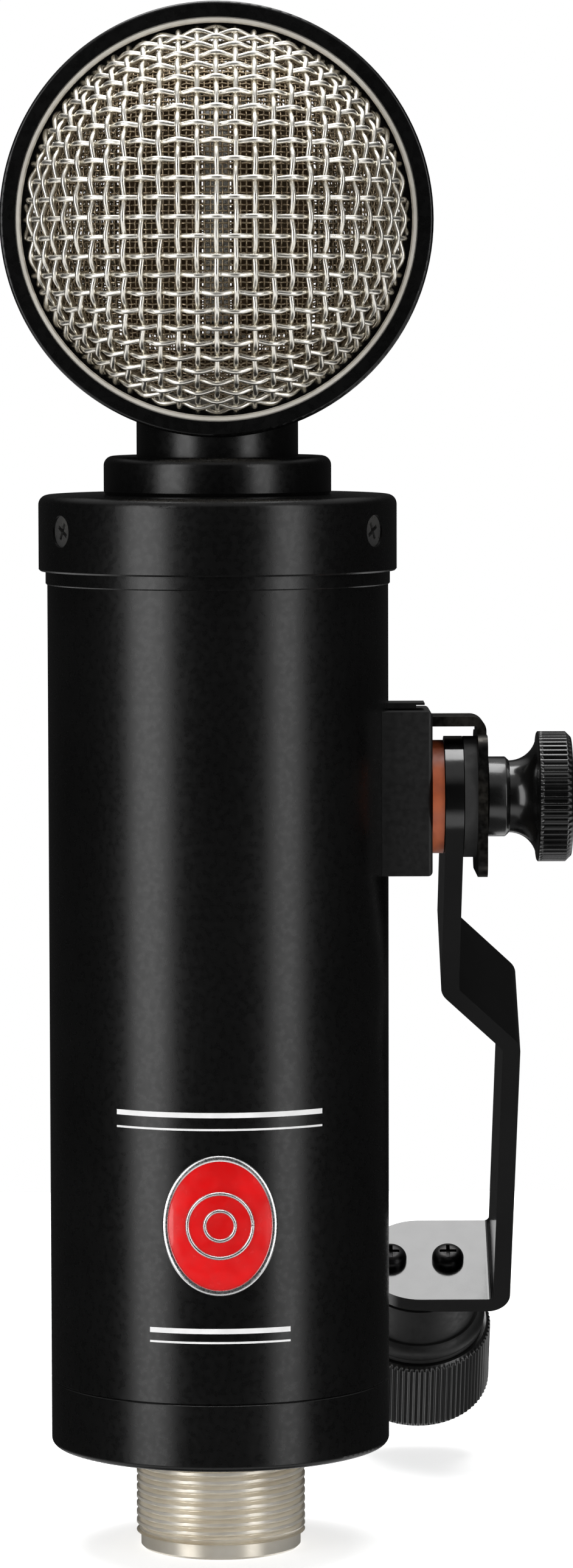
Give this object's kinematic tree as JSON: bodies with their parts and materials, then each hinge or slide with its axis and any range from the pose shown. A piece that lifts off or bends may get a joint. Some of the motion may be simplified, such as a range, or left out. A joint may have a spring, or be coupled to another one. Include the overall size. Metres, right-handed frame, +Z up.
{
  "type": "ribbon microphone",
  "caption": "Side-address ribbon microphone with a round domed woven-wire head on a cylindrical body and a bent swivel bracket for a stand.",
  "frame": {"origin": "centre of the lower rim of the threaded collar, on the microphone's axis", "axes": "+Z up along the body, -Y the front of the head and the badge, +X the side of the swivel mount"},
  "size_m": [0.0997, 0.1338, 0.272],
  "materials": {
    "black_anodised": "matte black anodised",
    "bright_nickel": "bright nickel-plated wire",
    "satin_nickel": "satin nickel plating on brass",
    "red_enamel": "glossy red enamel",
    "badge_metal": "silk white metal",
    "black_paint": "glossy black paint on steel",
    "gloss_lacquer": "gloss black lacquer on turned aluminium",
    "black_oxide": "black oxide steel",
    "orange_fibre": "terracotta fibre washer",
    "black_rubber": "soft black rubber",
    "magnet_steel": "nickel-plated magnet",
    "motor_steel": "ground soft steel",
    "ribbon_foil": "corrugated foil",
    "gold_pin": "gold-plated contact",
    "connector_plastic": "black moulded insulator",
    "board_green": "solder-masked board",
    "header_white": "moulded header",
    "capacitor_film": "sleeved can",
    "core_lamination": "stacked laminations",
    "copper_winding": "enamelled copper wire with tape",
    "lead_insulation": "insulated lead wire",
    "zinc_steel": "zinc-plated steel",
    "chassis_aluminium": "plain machined aluminium"
  },
  "bodies": {
    "microphone": {"badge_enamel": "red_enamel", "badge_rim": "badge_metal", "base_plate": "chassis_aluminium", "board_screws": "zinc_steel", "body_tube": "black_anodised", "bottom_cap": "black_anodised", "capacitors": "capacitor_film", "chassis_rail_left": "chassis_aluminium", "chassis_rail_right": "chassis_aluminium", "chassis_top_plate": "chassis_aluminium", "circuit_board": "board_green", "clamp_screws": "zinc_steel", "collar_screws": "zinc_steel", "connector_insulator": "connector_plastic", "connector_pins": "gold_pin", "connector_shell": "satin_nickel", "friction_washer": "orange_fibre", "front_grille_inner": "bright_nickel", "front_grille_outer": "bright_nickel", "front_trim_ring": "satin_nickel", "head_neck": "black_anodised", "head_ring": "black_anodised", "input_header": "header_white", "isolator_pads": "black_rubber", "magnet_left": "magnet_steel", "magnet_right": "magnet_steel", "motor_frame": "motor_steel", "motor_leads": "lead_insulation", "motor_saddle": "chassis_aluminium", "mount_block": "black_anodised", "mount_block_screws": "black_oxide", "mount_shim": "black_paint", "neck_collar": "black_anodised", "output_header": "header_white", "output_leads": "lead_insulation", "pole_piece_left": "motor_steel", "pole_piece_right": "motor_steel", "rear_grille_inner": "bright_nickel", "rear_grille_outer": "bright_nickel", "rear_trim_ring": "satin_nickel", "ribbon": "ribbon_foil", "ribbon_clamps": "connector_plastic", "thread_collar": "satin_nickel", "top_cap": "black_anodised", "top_cap_screws": "black_oxide", "transformer_clamp": "zinc_steel", "transformer_core": "core_lamination", "transformer_winding": "copper_winding"},
    "bracket": {"stand_bracket": "black_paint", "bracket_screws": "black_oxide", "adapter_hub": "black_anodised", "ring_clip": "black_oxide"},
    "clamp": {"keeper_plate": "black_oxide", "pressure_washer": "black_rubber"},
    "thumbscrew": {"thumbscrew_knob": "gloss_lacquer", "thumbscrew_stud": "black_oxide"},
    "ring": {"stand_ring": "gloss_lacquer"}
  },
  "joints": [
    {"name": "bracket_swivel", "type": "hinge", "parent": "microphone", "child": "bracket", "pos_m": [0.0414, 0, 0.1334], "axis": [1, 0, 0], "range_deg": [-24, 68]},
    {"name": "clamp_release", "type": "slide", "parent": "microphone", "child": "clamp", "axis": [1, 0, 0], "range_m": [0, 0.002]},
    {"name": "thumbscrew_turn", "type": "hinge", "parent": "clamp", "child": "thumbscrew", "pos_m": [0.055, 0, 0.1334], "axis": [1, 0, 0], "range_deg": [0, 720]},
    {"name": "stand_ring_turn", "type": "hinge", "parent": "bracket", "child": "ring", "pos_m": [0.0377, 0.07858, 0.02118], "axis": [0, 0.5736, -0.8192], "continuous": true}
  ],
  "couplings": [
    {"joint": "thumbscrew_turn", "follows": "clamp_release", "rad_per_m": 6283.2}
  ]
}
